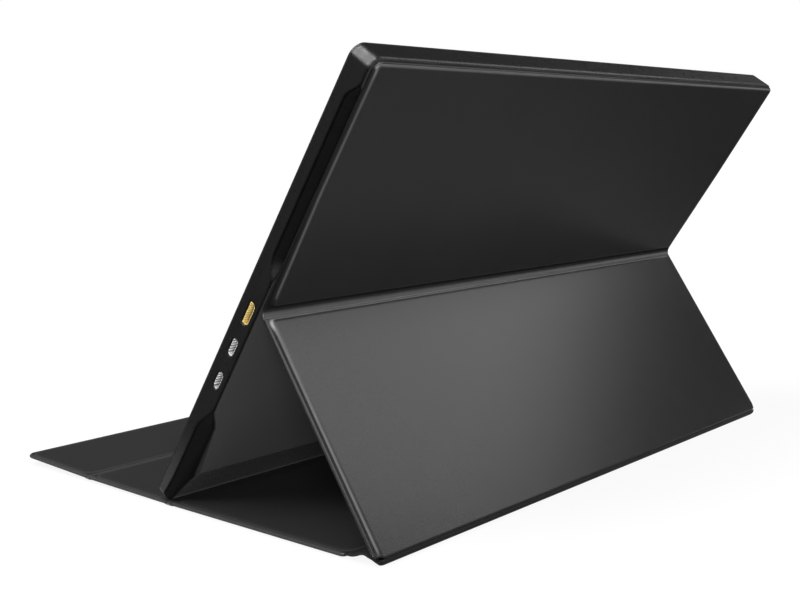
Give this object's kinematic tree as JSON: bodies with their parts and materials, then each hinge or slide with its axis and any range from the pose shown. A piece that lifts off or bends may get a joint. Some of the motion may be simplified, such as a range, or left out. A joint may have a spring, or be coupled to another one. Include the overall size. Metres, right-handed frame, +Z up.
{
  "type": "portable monitor with folding cover",
  "caption": "Thin portable monitor held up by its folding cover, with sockets in one side and controls in the other.",
  "frame": {"origin": "bottom centre of the bounding box of the standing object, on the table", "axes": "+X right as seen from the screen side, -Y the way the screen faces, +Z up"},
  "size_m": [0.3564, 0.2602, 0.2074],
  "materials": {
    "housing_plastic": "satin dark grey plastic, fine texture",
    "bezel_plastic": "matte black plastic",
    "screen_glass": "dark anti-glare screen",
    "film": "translucent white film",
    "light_guide": "clear acrylic",
    "led": "LED package",
    "sheet_metal": "plain sheet",
    "circuit_board": "solder mask",
    "shield": "bright sheet",
    "flat_cable": "polyimide",
    "gold_plate": "gold plated",
    "steel_plate": "nickel plated",
    "socket_black": "moulded black",
    "magnet": "nickel plated magnet",
    "screw_steel": "blackened steel",
    "button_plastic": "satin plastic",
    "cover_skin": "soft synthetic leather, fine grain",
    "cover_lining": "microfibre lining",
    "stiff_board": "grey board"
  },
  "bodies": {
    "base": {"rear_skin": "cover_skin", "rear_board": "stiff_board", "rear_lining": "cover_lining", "spine_strip": "cover_skin", "rear_groove_strip": "cover_skin"},
    "leg": {"leg_skin": "cover_skin", "leg_board": "stiff_board", "leg_lining": "cover_lining"},
    "monitor": {"rear_housing": "housing_plastic", "front_bezel": "bezel_plastic", "display_cell": "screen_glass", "optical_films": "film", "light_guide": "light_guide", "light_strip": "led", "panel_chassis": "sheet_metal", "main_board": "circuit_board", "shield_can": "shield", "timing_board": "circuit_board", "panel_cable": "flat_cable", "hdmi_shell": "gold_plate", "hdmi_tongue": "socket_black", "usb_c_shell_upper": "steel_plate", "usb_c_tongue_upper": "socket_black", "usb_c_shell_lower": "steel_plate", "usb_c_tongue_lower": "socket_black", "audio_jack": "socket_black", "key_board": "circuit_board", "speaker_right": "socket_black", "speaker_left": "socket_black", "housing_magnets": "magnet", "board_screws": "screw_steel", "upper_skin": "cover_skin", "upper_board": "stiff_board", "upper_lining": "cover_lining", "cover_magnets": "magnet", "crease_strip": "cover_skin"},
    "power_button": {"power_button": "button_plastic"},
    "menu_rocker": {"menu_rocker": "button_plastic"},
    "middle_panel": {"middle_skin": "cover_skin", "middle_board": "stiff_board", "middle_lining": "cover_lining", "front_groove_strip": "cover_skin"},
    "front_flap": {"flap_skin": "cover_skin", "flap_board": "stiff_board", "flap_lining": "cover_lining"}
  },
  "joints": [
    {"name": "leg_fold", "type": "hinge", "parent": "base", "child": "leg", "pos_m": [0, 0.13546, 0.0048], "axis": [-1, 0, 0], "range_deg": [0, 33.58], "deforming": ["spine_strip"]},
    {"name": "crease_fold", "type": "hinge", "parent": "leg", "child": "monitor", "pos_m": [0, 0.06149, 0.09753], "axis": [1, 0, 0], "range_deg": [0, 67.18], "deforming": ["crease_strip"]},
    {"name": "middle_fold", "type": "hinge", "parent": "base", "child": "middle_panel", "pos_m": [0, -0.00739, 0.0019], "axis": [-1, 0, 0], "range_deg": [0, 20], "deforming": ["rear_groove_strip"]},
    {"name": "flap_fold", "type": "hinge", "parent": "middle_panel", "child": "front_flap", "pos_m": [0, -0.07308, 0.00282], "axis": [-1, 0, 0], "range_deg": [0, 120], "deforming": ["front_groove_strip"]},
    {"name": "power_press", "type": "slide", "parent": "monitor", "child": "power_button", "axis": [1, 0, 0], "range_m": [0, 0.00035], "stiffness_N_per_m": 400},
    {"name": "rocker_tilt", "type": "hinge", "parent": "monitor", "child": "menu_rocker", "pos_m": [-0.1758, 0.04598, 0.0842], "axis": [0, 0.832, -0.5548], "range_deg": [-1.8, 1.8], "stiffness_Nm_per_rad": 0.01}
  ],
  "couplings": [
    {"joint": "crease_fold", "follows": "leg_fold", "ratio": 2}
  ]
}
